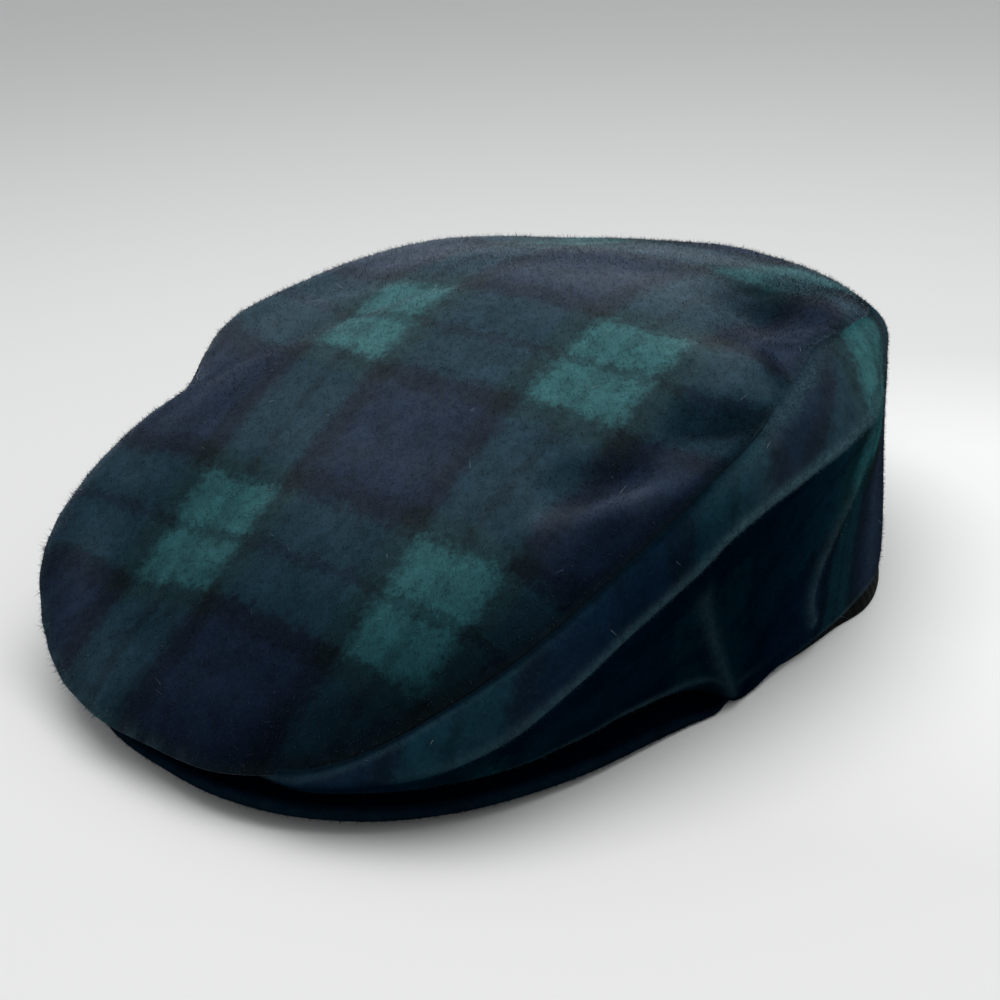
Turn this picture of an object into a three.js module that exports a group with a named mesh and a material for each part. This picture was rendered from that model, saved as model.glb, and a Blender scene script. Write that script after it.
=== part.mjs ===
// A driving cap of brushed tartan wool, resting on its head opening.
// Millimetres, +Z up, the peak points to -Y, +X is the wearer's left.
// Headings are degrees round the crown's summit: 0 front, 90 wearer's left, 180 back.
import * as THREE from "three";

// Driving sizes
const summit = { x: 1.4, y: 20.1, z: 93.5 };
const clothThick = 2.0;
const peakThick = 4.0;
const bandThick = 1.4;
const bandHeight = 24;
const seamGap = 0.3;
const lean = 0.022;
const summitRound = 0.22;
const tipHeading = 12;
const tipShare = 0.4;
const peakEnd = 64;

// One row for each section of the cap, from the front to the back.
// seam: where the top panel meets the side panel. fold: the side panel's outermost bend.
// hem: where the side panel turns under. edge: the side panel's lower end.
// band: outer face of the sweatband. fullness: how domed the top panel is along that heading.
const sectionColumns = [
  "heading", "seamR", "seamZ", "foldR", "foldZ", "hemR", "hemZ", "edgeR", "edgeZ",
  "bandR", "bandZ", "fullness",
];
const sectionRows = [
  [0, 155.5, 14.6, 156.0, 13.6, 156.0, 12.8, 155.8, 12.0, 100.5, 17.5, 1.30],
  [10, 155.5, 15.2, 156.0, 14.0, 156.0, 13.0, 155.6, 12.0, 100.2, 17.0, 1.30],
  [20, 151.5, 20.6, 154.6, 15.8, 151.0, 12.2, 147.0, 12.0, 99.0, 15.2, 1.35],
  [32, 139.0, 36.0, 147.5, 22.5, 133.0, 10.2, 121.0, 12.0, 96.8, 11.0, 1.40],
  [48, 117.0, 55.5, 123.5, 41.3, 108.5, 10.7, 97.5, 9.6, 92.9, 5.0, 1.50],
  [62, 104.0, 68.8, 110.0, 54.3, 98.5, 11.2, 93.5, 6.4, 89.7, 1.2, 1.60],
  [69, 99.4, 73.6, 105.8, 58.6, 97.0, 7.0, 95.8, 0.8, 88.9, 0.0, 1.60],
  [80, 92.0, 78.8, 102.6, 63.0, 92.6, 7.0, 91.5, 0.6, 88.4, 0.0, 1.70],
  [100, 85.8, 83.0, 99.4, 66.2, 92.2, 9.0, 91.7, 2.2, 88.8, 0.0, 1.80],
  [110, 87.0, 83.0, 98.2, 66.0, 96.4, 13.0, 96.3, 6.2, 93.2, 0.0, 1.90],
  [120, 89.4, 82.2, 97.8, 65.5, 98.9, 13.5, 98.8, 6.6, 95.8, 0.0, 2.00],
  [140, 98.4, 76.5, 104.8, 61.0, 103.0, 13.5, 102.6, 6.4, 99.6, 0.0, 2.20],
  [160, 105.8, 73.5, 112.0, 58.0, 105.4, 13.0, 105.0, 6.2, 102.1, 0.0, 2.35],
  [180, 108.5, 74.0, 115.0, 57.5, 105.6, 13.0, 105.2, 6.2, 102.4, 0.0, 2.50],
];

// The peak: lower outer rim, and the height of the top face where it meets the sweatband.
const peakColumns = ["heading", "rimR", "rimZ", "rootZ"];
const peakRows = [
  [0, 155.0, 7.5, 22.0],
  [10, 155.4, 7.1, 21.5],
  [20, 151.5, 6.1, 19.8],
  [30, 140.5, 4.5, 16.2],
  [40, 125.0, 2.7, 12.4],
  [50, 110.5, 1.1, 9.0],
  [58, 101.5, 0.3, 6.8],
  [64, 94.4, 0.2, 5.4],
];

// Where the soft cap lies unevenly on its right side: pulled out over the temple,
// drawn in behind it, and drooping over the peak's corner.
const pulls = [
  { heading: -34, spread: 11, seamOut: 6.0, seamUp: 2.4, foldOut: 1.4, foldUp: 3.8 },
  { heading: -55, spread: 7, seamOut: -2.4, seamUp: -0.8, foldOut: -2.0, foldUp: -0.5 },
  { heading: -20, spread: 7, seamOut: 0.6, seamUp: -1.4, foldOut: 0.4, foldUp: -0.8 },
];
const rightTuck = { heading: -24, spread: 14, inward: 5.0 };

// Hollows pressed into the top panel, and one puff (negative depth).
const dents = [
  { heading: 66, share: 0.89, depth: 3.6, radius: 13 },
  { heading: 108, share: 0.78, depth: 3.8, radius: 14 },
  { heading: 46, share: 0.77, depth: 2.4, radius: 11 },
  { heading: -62, share: 0.86, depth: -3.4, radius: 17 },
];

// Creases in the left side panel, each from one point to another (share runs seam to edge).
const creases = [
  { from: [66, 0.52], to: [69, 0.95], out: 2.6, width: 6 },
  { from: [118, 0.44], to: [90, 0.74], out: 2.0, width: 7 },
];

// Where the walls are divided: headings for one side, shares along each profile.
const headingSteps = [
  { from: tipHeading, to: 56, step: 4 },
  { from: 58, to: 76, step: 2 },
  { from: 82.5, to: 180, step: 6.5 },
];
const crownShares = [0, 0.14, 0.28, 0.42, 0.55, 0.67, 0.78, 0.88, 0.95, 1];
const sideShares = [0, 0.14, 0.28, 0.36, 0.4, 0.45, 0.6, 0.74, 0.8, 0.87, 1];
const peakShares = [0, 0.3, 0.6, 0.85, 1];

// Table lookup: smooth between rows, alike on both sides of the cap
function lookUp(rows, columns, heading) {
  const turned = Math.abs(((heading + 540) % 360) - 180);
  const last = rows.length - 1;
  const near = (k) => {
    if (k < 0) return rows[-k].map((v, c) => (c === 0 ? -v : v));
    if (k > last) return rows[2 * last - k].map((v, c) => (c === 0 ? 2 * rows[last][0] - v : v));
    return rows[k];
  };
  let k = 0;
  while (k < last - 1 && turned > rows[k + 1][0]) k += 1;
  const [a, b, c, d] = [near(k - 1), near(k), near(k + 1), near(k + 2)];
  const span = c[0] - b[0];
  const t = (turned - b[0]) / span;
  const result = {};
  columns.forEach((name, i) => {
    const slopeB = ((c[i] - a[i]) / (c[0] - a[0])) * span;
    const slopeC = ((d[i] - b[i]) / (d[0] - b[0])) * span;
    const rise = c[i] - b[i];
    const bend = slopeB + slopeC - 2 * rise;
    result[name] = b[i] + t * (slopeB + t * (rise - slopeB - bend + t * bend));
  });
  return result;
}

function bell(heading, centre, spread) {
  return Math.exp(-(((heading - centre) / spread) ** 2));
}

// A section of the cap, with the pulls on its right side
function section(heading) {
  const s = lookUp(sectionRows, sectionColumns, heading);
  for (const pull of pulls) {
    const share = bell(heading, pull.heading, pull.spread);
    s.seamR += pull.seamOut * share;
    s.seamZ += pull.seamUp * share;
    s.foldR += pull.foldOut * share;
    s.foldZ += pull.foldUp * share;
  }
  return s;
}

function place(heading, r, z) {
  const a = THREE.MathUtils.degToRad(heading);
  return new THREE.Vector3(
    summit.x + r * Math.sin(a) - lean * z,
    summit.y - r * Math.cos(a),
    z,
  );
}

// The top panel: share 0 at the summit, 1 at the seam
function crownPoint(heading, share) {
  const s = section(heading);
  const soft = (v) => Math.pow(v * v + summitRound * summitRound, s.fullness / 2);
  const fall = (soft(share) - soft(0)) / (soft(1) - soft(0));
  const p = place(heading, s.seamR * share, s.seamZ + (summit.z - s.seamZ) * (1 - fall));
  const free = 1 - Math.pow(share, 24);
  for (const dent of dents) {
    const centre = place(dent.heading, section(dent.heading).seamR * dent.share, p.z);
    const near = Math.hypot(p.x - centre.x, p.y - centre.y) / dent.radius;
    p.z -= dent.depth * free * Math.exp(-near * near);
  }
  return p;
}

// The side panel's profile: seam, fold, hem and lower edge
function sideProfile(heading) {
  const s = section(heading);
  const puff = Math.min(2.2, 0.12 * (s.seamZ - s.foldZ));
  return new THREE.SplineCurve([
    new THREE.Vector2(s.seamR, s.seamZ),
    new THREE.Vector2((s.seamR + s.foldR) / 2 + puff, (s.seamZ + s.foldZ) / 2 + 0.4 * puff),
    new THREE.Vector2(s.foldR, s.foldZ),
    new THREE.Vector2((s.foldR + s.hemR) / 2, (s.foldZ + s.hemZ) / 2),
    new THREE.Vector2(s.hemR, s.hemZ),
    new THREE.Vector2(s.edgeR, s.edgeZ),
  ]);
}

function creaseOut(heading, share, reach) {
  let out = 0;
  for (const crease of creases) {
    const [h0, s0] = crease.from;
    const [h1, s1] = crease.to;
    const along = THREE.MathUtils.clamp((share - s0) / (s1 - s0), 0, 1);
    const across = ((heading - (h0 + along * (h1 - h0))) * Math.PI * 100) / 180;
    const beyond = (share - (s0 + along * (s1 - s0))) * reach;
    out += crease.out * Math.exp(-(across * across + beyond * beyond) / crease.width ** 2);
  }
  return out;
}

function sidePoint(heading, share) {
  const q = sideProfile(heading).getPoint(share);
  const still = share < 0.4 || share > 0.95 ? 0 : 1;
  return place(heading, q.x + still * creaseOut(heading, share, 110), q.y);
}

// Unit normals of a grid of points, from its neighbours
function gridNormals(grid, ring) {
  const n = grid.length;
  const m = grid[0].length;
  return grid.map((column, i) =>
    column.map((p, j) => {
      const left = grid[ring ? (i + n - 1) % n : Math.max(i - 1, 0)];
      const right = grid[ring ? (i + 1) % n : Math.min(i + 1, n - 1)];
      const u = new THREE.Vector3().subVectors(right[j], left[j]);
      const v = new THREE.Vector3().subVectors(column[Math.min(j + 1, m - 1)], column[Math.max(j - 1, 0)]);
      return new THREE.Vector3().crossVectors(v, u).normalize();
    }),
  );
}

// A closed wall between an outer and an inner grid of points
function wall(outer, inner, ring) {
  const n = outer.length;
  const m = outer[0].length;
  const points = [...outer.flat(), ...inner.flat()];
  const at = (side, i, j) => side * n * m + (i % n) * m + j;
  const faces = [];
  const quad = (a, b, c, d) => faces.push([a, b, c], [a, c, d]);
  const columns = ring ? n : n - 1;
  for (let i = 0; i < columns; i += 1) {
    for (let j = 0; j < m - 1; j += 1) {
      quad(at(0, i, j), at(0, i, j + 1), at(0, i + 1, j + 1), at(0, i + 1, j));
      quad(at(1, i, j), at(1, i + 1, j), at(1, i + 1, j + 1), at(1, i, j + 1));
    }
    quad(at(0, i, m - 1), at(1, i, m - 1), at(1, i + 1, m - 1), at(0, i + 1, m - 1));
    quad(at(0, i, 0), at(0, i + 1, 0), at(1, i + 1, 0), at(1, i, 0));
  }
  if (!ring) {
    for (let j = 0; j < m - 1; j += 1) {
      quad(at(0, 0, j), at(1, 0, j), at(1, 0, j + 1), at(0, 0, j + 1));
      quad(at(0, n - 1, j), at(0, n - 1, j + 1), at(1, n - 1, j + 1), at(1, n - 1, j));
    }
  }
  const same = (a, b) => points[a].distanceToSquared(points[b]) < 1e-10;
  const kept = faces.filter(([a, b, c]) => !same(a, b) && !same(b, c) && !same(c, a));
  const geometry = new THREE.BufferGeometry().setFromPoints(points);
  geometry.setIndex(kept.flat());
  return geometry;
}

// Headings of the left side panel's columns, then of the whole ring
const leftHeadings = headingSteps.flatMap(({ from, to, step }) =>
  Array.from({ length: Math.round((to - from) / step) + 1 }, (_, k) => from + k * step),
);
const rightHeadings = leftHeadings.map((h) => -h).reverse();
const ringHeadings = [...rightHeadings.slice(1), -6, 0, 6, ...leftHeadings];

// The seam: both panels end on one mitre, half the gap to either side of it
function seamNormal(heading) {
  const step = 0.5;
  const along = new THREE.Vector3().subVectors(
    crownPoint(heading + step, 1),
    crownPoint(heading - step, 1),
  );
  const over = crownPoint(heading, 1).sub(crownPoint(heading, 0.97));
  const normal = new THREE.Vector3().crossVectors(over, along).normalize();
  if (Math.abs(heading) < tipHeading) return normal;
  const down = sidePoint(heading, 0.08).sub(sidePoint(heading, 0));
  return normal.add(new THREE.Vector3().crossVectors(down, along).normalize()).normalize();
}

function crownTop() {
  const outer = ringHeadings.map((h) =>
    crownShares.map((share) => {
      const kept = share === 1 ? 1 - seamGap / 2 / section(h).seamR : share;
      return crownPoint(h, kept);
    }),
  );
  const normals = gridNormals(outer, true);
  const inner = outer.map((column, i) =>
    column.map((p, j) => {
      let normal = normals[i][j];
      if (j === 0) normal = new THREE.Vector3(0, 0, 1);
      if (j === crownShares.length - 1) normal = seamNormal(ringHeadings[i]);
      return p.clone().addScaledVector(normal, -clothThick);
    }),
  );
  return wall(outer, inner, true);
}

function sidePanel(headings) {
  const backTurn = THREE.MathUtils.radToDeg(seamGap / 2 / 105);
  const turned = headings.map((h) => (Math.abs(h) === 180 ? h - Math.sign(h) * backTurn : h));
  const outer = turned.map((h) =>
    sideShares.map((share) => {
      if (share > 0) return sidePoint(h, share);
      const top = sidePoint(h, 0);
      const way = sidePoint(h, 0.08).sub(top).normalize();
      return top.addScaledVector(way, seamGap / 2);
    }),
  );
  const normals = gridNormals(outer, false);
  const thick = turned.map((h) => {
    const { seamZ, edgeZ } = section(h);
    return Math.min(clothThick, tipShare * (seamZ - edgeZ));
  });
  const inner = outer.map((column, i) =>
    column.map((p, j) => {
      const normal = j === 0 ? seamNormal(turned[i]) : normals[i][j].clone();
      if (Math.abs(headings[i]) === 180) normal.setX(0).normalize();
      return p.clone().addScaledVector(normal, -thick[i]);
    }),
  );
  return wall(outer, inner, false);
}

// The peak: share 0 at the sweatband, 1 at the rim
function peakPoint(heading, share) {
  const p = lookUp(peakRows, peakColumns, heading);
  const root = section(heading).bandR + seamGap;
  const rim = p.rimR - rightTuck.inward * bell(heading, rightTuck.heading, rightTuck.spread);
  const r = root + (rim - root) * share;
  const a = THREE.MathUtils.degToRad(heading);
  const z = p.rootZ + (p.rimZ + peakThick - p.rootZ) * share;
  return new THREE.Vector3(summit.x + r * Math.sin(a), summit.y - r * Math.cos(a), z);
}

function peakShell() {
  const headings = Array.from({ length: 33 }, (_, k) => -peakEnd + k * 4);
  const top = headings.map((h) => peakShares.map((share) => peakPoint(h, share)));
  const below = top.map((column) =>
    column.map((p) => p.clone().add(new THREE.Vector3(0, 0, -peakThick))),
  );
  return wall(top, below, false);
}

function sweatband() {
  const headings = Array.from({ length: 72 }, (_, k) => k * 5);
  const face = (inset) =>
    headings.map((h) => {
      const s = lookUp(sectionRows, sectionColumns, h);
      const a = THREE.MathUtils.degToRad(h);
      const r = s.bandR - inset;
      return [bandHeight, 0].map(
        (up) =>
          new THREE.Vector3(
            summit.x + r * Math.sin(a),
            summit.y - r * Math.cos(a),
            Math.max(s.bandZ, 0) + up,
          ),
      );
    });
  return wall(face(0), face(bandThick), true);
}

function piece(name, geometry, colour, roughness) {
  const material = new THREE.MeshStandardMaterial({ color: colour, roughness });
  const mesh = new THREE.Mesh(geometry, material);
  mesh.name = name;
  return mesh;
}

const tartan = 0x2f4a3c;
const cap = new THREE.Group();
cap.name = "driving_cap";
cap.add(piece("crown_top", crownTop(), tartan, 0.95));
cap.add(piece("side_left", sidePanel(leftHeadings), tartan, 0.95));
cap.add(piece("side_right", sidePanel(rightHeadings), tartan, 0.95));
cap.add(piece("peak", peakShell(), 0x22303f, 0.95));
cap.add(piece("sweatband", sweatband(), 0x0c0c0e, 0.6));

export default cap;
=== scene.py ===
import math

import bpy
import numpy as np
from mathutils import Matrix, Vector


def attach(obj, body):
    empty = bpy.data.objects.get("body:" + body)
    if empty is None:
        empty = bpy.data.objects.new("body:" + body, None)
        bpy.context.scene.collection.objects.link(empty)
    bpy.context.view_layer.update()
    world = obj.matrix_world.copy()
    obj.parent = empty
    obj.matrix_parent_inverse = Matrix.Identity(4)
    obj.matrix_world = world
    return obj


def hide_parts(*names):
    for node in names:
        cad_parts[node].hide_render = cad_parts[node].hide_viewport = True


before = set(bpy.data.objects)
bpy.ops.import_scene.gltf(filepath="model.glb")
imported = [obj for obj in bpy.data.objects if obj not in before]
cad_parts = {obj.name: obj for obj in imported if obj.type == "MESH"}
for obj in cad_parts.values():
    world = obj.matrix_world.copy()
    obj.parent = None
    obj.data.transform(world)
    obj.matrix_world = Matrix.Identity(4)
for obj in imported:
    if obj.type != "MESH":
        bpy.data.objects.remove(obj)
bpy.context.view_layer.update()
scene = bpy.context.scene
mm = 0.001
upwards = np.array([0, 0, 1])
rng = np.random.default_rng(41)
print("frame loaded:", sorted(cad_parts))

# The cap's form in millimetres, the same sizes as the solids.
# Headings are degrees round the summit: 0 over the peak, 90 the wearer's left, 180 the back.
capForm = {
    "summit": (1.4, 20.1, 93.5),
    "lean": 0.022,  # to the right for each mm of height
    "summitRound": 0.22,
    "cloth": 2.0,
    "seamGap": 0.3,
    # heading, seam r z, fold r z, hem r z, edge r z, band r z, fullness of the top
    "sections": [
        (0, 155.5, 14.6, 156.0, 13.6, 156.0, 12.8, 155.8, 12.0, 100.5, 17.5, 1.30),
        (10, 155.5, 15.2, 156.0, 14.0, 156.0, 13.0, 155.6, 12.0, 100.2, 17.0, 1.30),
        (20, 151.5, 20.6, 154.6, 15.8, 151.0, 12.2, 147.0, 12.0, 99.0, 15.2, 1.35),
        (32, 139.0, 36.0, 147.5, 22.5, 133.0, 10.2, 121.0, 12.0, 96.8, 11.0, 1.40),
        (48, 117.0, 55.5, 123.5, 41.3, 108.5, 10.7, 97.5, 9.6, 92.9, 5.0, 1.50),
        (62, 104.0, 68.8, 110.0, 54.3, 98.5, 11.2, 93.5, 6.4, 89.7, 1.2, 1.60),
        (69, 99.4, 73.6, 105.8, 58.6, 97.0, 7.0, 95.8, 0.8, 88.9, 0.0, 1.60),
        (80, 92.0, 78.8, 102.6, 63.0, 92.6, 7.0, 91.5, 0.6, 88.4, 0.0, 1.70),
        (100, 85.8, 83.0, 99.4, 66.2, 92.2, 9.0, 91.7, 2.2, 88.8, 0.0, 1.80),
        (110, 87.0, 83.0, 98.2, 66.0, 96.4, 13.0, 96.3, 6.2, 93.2, 0.0, 1.90),
        (120, 89.4, 82.2, 97.8, 65.5, 98.9, 13.5, 98.8, 6.6, 95.8, 0.0, 2.00),
        (140, 98.4, 76.5, 104.8, 61.0, 103.0, 13.5, 102.6, 6.4, 99.6, 0.0, 2.20),
        (160, 105.8, 73.5, 112.0, 58.0, 105.4, 13.0, 105.0, 6.2, 102.1, 0.0, 2.35),
        (180, 108.5, 74.0, 115.0, 57.5, 105.6, 13.0, 105.2, 6.2, 102.4, 0.0, 2.50),
    ],
    # heading, spread, seam out and up, fold out and up: how the soft right side lies
    "pulls": [
        (-34, 11, 6.0, 2.4, 1.4, 3.8),
        (-55, 7, -2.4, -0.8, -2.0, -0.5),
        (-20, 7, 0.6, -1.4, 0.4, -0.8),
    ],
    # the same for small ways the cloth lies that the solids leave out
    "settled": [
        (98, 14, -3.0, 1.0, 0, 0),
        (-62, 4, 1.5, 0.8, 0, 0),
        (-51, 4, -2.4, -0.6, 0, 0),
    ],
}

# How the cloth lies along the top panel's seam
seamLook = {
    "tight": 0.05,  # half of the gap that still shows in pressed cloth
    "corner": 0.35,  # what the turn of the cut edge takes up
    "edge": [(0.17, 0.05), (0.30, 0.18), (0.34, 0.40), (0.10, 1.00), (-0.60, 1.65)],  # out and in
    "calm": 6.0,  # how far the seam holds the cloth still
    "sink": (0.9, 0, 2.4),  # depth, middle, width
    "pucker": (0.16, 5.0),  # height and reach
    "fuzz": (0.06, 0.26),  # raised nap with a painted highlight, and more near the back corner
    "grooveShade": (0.84, 0, 2.6),  # painted shade in the groove: strength, middle, width
}
edgeSteps = len(seamLook["edge"])


def readRows(rows, heading):
    # a smooth curve through each column, mirrored at the first and last heading
    table = np.array(rows, float)
    turned = np.abs((np.asarray(heading, float) + 540) % 360 - 180)
    before, after = table[1:2].copy(), table[-2:-1].copy()
    before[:, 0] *= -1
    after[:, 0] = 2 * table[-1, 0] - after[:, 0]
    padded = np.vstack([before, table, after])
    k = np.clip(np.searchsorted(table[:, 0], turned) - 1, 0, len(table) - 2)
    a, b, c, d = (padded[k + n] for n in range(4))
    span = c[..., :1] - b[..., :1]
    t = (turned[..., None] - b[..., :1]) / span
    slopeB = (c - a) / (c[..., :1] - a[..., :1]) * span
    slopeC = (d - b) / (d[..., :1] - b[..., :1]) * span
    rise = c - b
    bend = slopeB + slopeC - 2 * rise
    return np.moveaxis(b + t * (slopeB + t * (rise - slopeB - bend + t * bend)), -1, 0)


def bell(value, centre, spread):
    return np.exp(-(((value - centre) / spread) ** 2))


def hump(value, form):
    height, centre, spread = form
    return height * bell(value, centre, spread)


def crisp(away, wide, soft=0.5):
    # a ridge with a tight crest
    return np.exp(-np.sqrt(away**2 + soft) / wide)


def ease(value, low, high):
    t = np.clip((value - low) / (high - low), 0, 1)
    return t * t * (3 - 2 * t)


def section(heading, more=()):
    names = ("heading", "seamR", "seamZ", "foldR", "foldZ", "hemR", "hemZ", "edgeR", "edgeZ")
    names += ("bandR", "bandZ", "fullness")
    s = dict(zip(names, readRows(capForm["sections"], heading)))
    for centre, spread, *moves in (*capForm["pulls"], *more):
        share = bell(np.asarray(heading, float), centre, spread)
        for part, move in zip(("seamR", "seamZ", "foldR", "foldZ"), moves):
            s[part] = s[part] + move * share
    return s


def place(heading, r, z, lean=capForm["lean"]):
    x, y, _ = capForm["summit"]
    a = np.radians(heading)
    return np.stack(np.broadcast_arrays(x + r * np.sin(a) - lean * z, y - r * np.cos(a), z), -1)


def unit(v):
    return v / np.maximum(np.linalg.norm(v, axis=-1, keepdims=True), 1e-9)


def inSurface(v, n):
    # the way v points along the surface with normal n
    return unit(v - n * (v * n).sum(-1, keepdims=True))


def outNormals(grid, ring, towards):
    # unit normals of a grid, on the side that faces towards
    if ring:
        along = np.roll(grid, -1, 0) - np.roll(grid, 1, 0)
    else:
        along = np.gradient(grid, axis=0)
    n = unit(np.cross(np.gradient(grid, axis=1), along))
    return n if (n * towards).sum() > 0 else -n


def ripple(points, waves, seed):
    # gentle unevenness: plane waves, how many, the shortest and the longest
    count, shortest, longest = waves
    local = np.random.default_rng(seed)
    total = np.zeros(points.shape[:-1])
    for _ in range(count):
        way = unit(local.normal(size=3))
        long = shortest + (longest - shortest) * local.random()
        total += np.sin(points @ way * (2 * math.pi / long) + 2 * math.pi * local.random())
    return total / math.sqrt(count)


def pucker(along, toSeam):
    height, reach = seamLook["pucker"]
    return height * np.sin(along * 0.9 + 2.2 * np.sin(along * 0.13)) * np.exp(-toSeam / reach)


def nearLine(points, line):
    # distance of each flat point from a bent line
    best = np.full(points.shape[:-1], np.inf)
    for a, b in zip(line[:-1], line[1:]):
        a, b = np.array(a, float), np.array(b, float)
        d = b - a
        t = np.clip(((points - a) @ d) / (d @ d), 0, 1)
        best = np.minimum(best, np.linalg.norm(points - (a + t[..., None] * d), axis=-1))
    return best


def runAlong(line):
    # how far along a line each of its points lies
    return np.r_[0, np.cumsum(np.linalg.norm(np.diff(line, axis=0), axis=1))]


def seamEdge(tip, inwards, n, thick):
    # the cut edge of the cloth at a seam: a tight outer corner, then bevelled back under
    t = inSurface(tip - inwards, n)
    depth = thick / capForm["cloth"]
    return np.stack([tip + out * t - deep * depth * n for out, deep in seamLook["edge"]], 1)


def closedLoop(outer, normals, thick, innerRows):
    # one loop for each column: outer rows, rounded end, inner rows back, seam edge
    thick = thick[:, None]
    tip, n = outer[:, -1], normals[:, -1]
    t = inSurface(tip - outer[:, -2], n)
    steps = np.linspace(0, math.pi, edgeSteps + 2)[1:-1]
    arc = np.stack([tip + thick / 2 * ((math.cos(f) - 1) * n + math.sin(f) * t) for f in steps], 1)
    inner = outer[:, innerRows] - thick[:, None] * normals[:, innerRows]
    start = seamEdge(outer[:, 0], outer[:, 1], normals[:, 0], thick)
    return np.concatenate([outer, arc, inner[:, ::-1], start[:, ::-1]], 1)


def loopFaces(columns, rows, ring):
    i = np.arange(columns if ring else columns - 1)[:, None]
    k = np.arange(rows)[None, :]
    nextI, nextK = (i + 1) % columns, (k + 1) % rows
    corners = (i * rows + k, i * rows + nextK, nextI * rows + nextK, nextI * rows + k)
    return np.stack(np.broadcast_arrays(*corners), -1).reshape(-1, 4)


def cappedFaces(columns, rows):
    # a row of loops, closed at both ends
    faces = loopFaces(columns, rows, False).tolist()
    faces.append(list(range(rows)))
    faces.append([(columns - 1) * rows + k for k in range(rows)][::-1])
    return faces


def addObject(name, data):
    thing = bpy.data.objects.new(name, data)
    scene.collection.objects.link(thing)
    return thing


def meshPiece(name, points, faces, cloth, bake, lie, material):
    points = np.asarray(points, float).reshape(-1, 3) * mm
    points[:, 2] = np.maximum(points[:, 2], 0)
    corners = [list(map(int, f)) for f in faces]
    a, b, c, d = (points[[f[k] for f in corners]] for k in (0, 1, 2, -1))
    if (a * (np.cross(b, c) + np.cross(c, d))).sum() < 0:  # faces look inwards
        corners = [f[::-1] for f in corners]
    mesh = bpy.data.meshes.new(name)
    mesh.from_pydata(points.tolist(), [], corners)
    used = np.empty(len(mesh.loops), np.int32)
    mesh.loops.foreach_get("vertex_index", used)
    # the third map holds painted light and shade, then raised nap with its painted highlight
    for title, values in (("cloth", cloth), ("OFBake", bake), ("lie", lie)):
        if values is not None:
            layer = mesh.uv_layers.new(name=title)
            layer.data.foreach_set("uv", np.asarray(values, np.float32).reshape(-1, 2)[used].ravel())
    mesh.polygons.foreach_set("use_smooth", np.ones(len(mesh.polygons), bool))
    mesh.materials.append(material)
    mesh.update()
    piece = addObject(name, mesh)
    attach(piece, "root")
    print(name, "built:", len(mesh.polygons), "faces")
    return piece


class Wire:
    # a node socket that takes part in Python sums
    def __init__(self, tree, socket=None):
        self.tree = tree
        self.socket = socket

    def make(self, kind, settings=None, sockets=None, out=0):
        node = self.tree.nodes.new("ShaderNode" + kind)
        for name, value in (settings or {}).items():
            if name == "stops":
                marks = node.color_ramp.elements
                while len(marks) > 1:
                    marks.remove(marks[-1])
                marks[0].position, marks[0].color = value[0][0], (*value[0][1], 1)
                for at, colour in value[1:]:
                    marks.new(at).color = (*colour, 1)
            else:
                setattr(node, name, value)
        for name, value in (sockets or {}).items():
            if isinstance(value, Wire):
                self.tree.links.new(value.socket, node.inputs[name])
            else:
                node.inputs[name].default_value = value
        return Wire(self.tree, node.outputs[out])

    def math(self, operation, *others):
        return self.make("Math", {"operation": operation}, dict(enumerate((self, *others))))

    def __add__(self, other):
        return self.math("ADD", other)

    def __sub__(self, other):
        return self.math("SUBTRACT", other)

    def __mul__(self, other):
        return self.math("MULTIPLY", other)

    def __pow__(self, other):
        return self.math("POWER", other)

    def __abs__(self):
        return self.math("ABSOLUTE")

    def __rsub__(self, other):
        return self.make("Math", {"operation": "SUBTRACT"}, {0: other, 1: self})

    __radd__ = __add__
    __rmul__ = __mul__

    def between(self, low, high):
        sockets = {"Value": self, "From Min": low, "From Max": high}
        return self.make("MapRange", {"interpolation_type": "SMOOTHSTEP"}, sockets)

    def tint(self, first, second):
        # this value mixes two colours
        first, second = (c if isinstance(c, Wire) else (*c, 1) for c in (first, second))
        return self.make("Mix", {"data_type": "RGBA"}, {0: self, 6: first, 7: second}, out=2)

    def split(self):
        # the first two parts of a vector or colour
        return [self.make("SeparateXYZ", None, {0: self}, out=k) for k in (0, 1)]

    def noise(self, scale, detail, rough=0.5, twist=0.0, out=0):
        sockets = {"Vector": self, "Scale": scale, "Detail": detail, "Roughness": rough, "Distortion": twist}
        return self.make("TexNoise", None, sockets, out)

    def into(self, shader, name):
        self.tree.links.new(self.socket, shader.inputs[name])


def newMaterial(name):
    material = bpy.data.materials.new(name)
    material.use_nodes = True
    return material, material.node_tree.nodes["Principled BSDF"], Wire(material.node_tree)


# The check: green over green, green over black and so on, and where each band ends.
# Widths are shares of the repeat.
tartan = {
    "greenGreen": (0.038, 0.140, 0.150),
    "greenBlack": (0.012, 0.040, 0.048),
    "greenBlue": (0.012, 0.041, 0.062),
    "blackBlack": (0.004, 0.010, 0.014),
    "blackBlue": (0.006, 0.013, 0.028),
    "blueBlue": (0.0100, 0.0205, 0.048),
    "paintedDark": (0.010, 0.027, 0.060),  # painted shade: colour of the cloth where it is most shaded
    "line": (0.012, 0.030),  # where the thin dark line fades out
    "lineDim": (0.78, 0.75, 0.70),  # how dim it is on green, black and blue
    "lineAlong": 0.60,  # how much the other line shows
    "green": (0.170, 0.205),  # half the green band across and along
    "black": (0.275, 0.295),
    "edge": 0.030,
}


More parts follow.
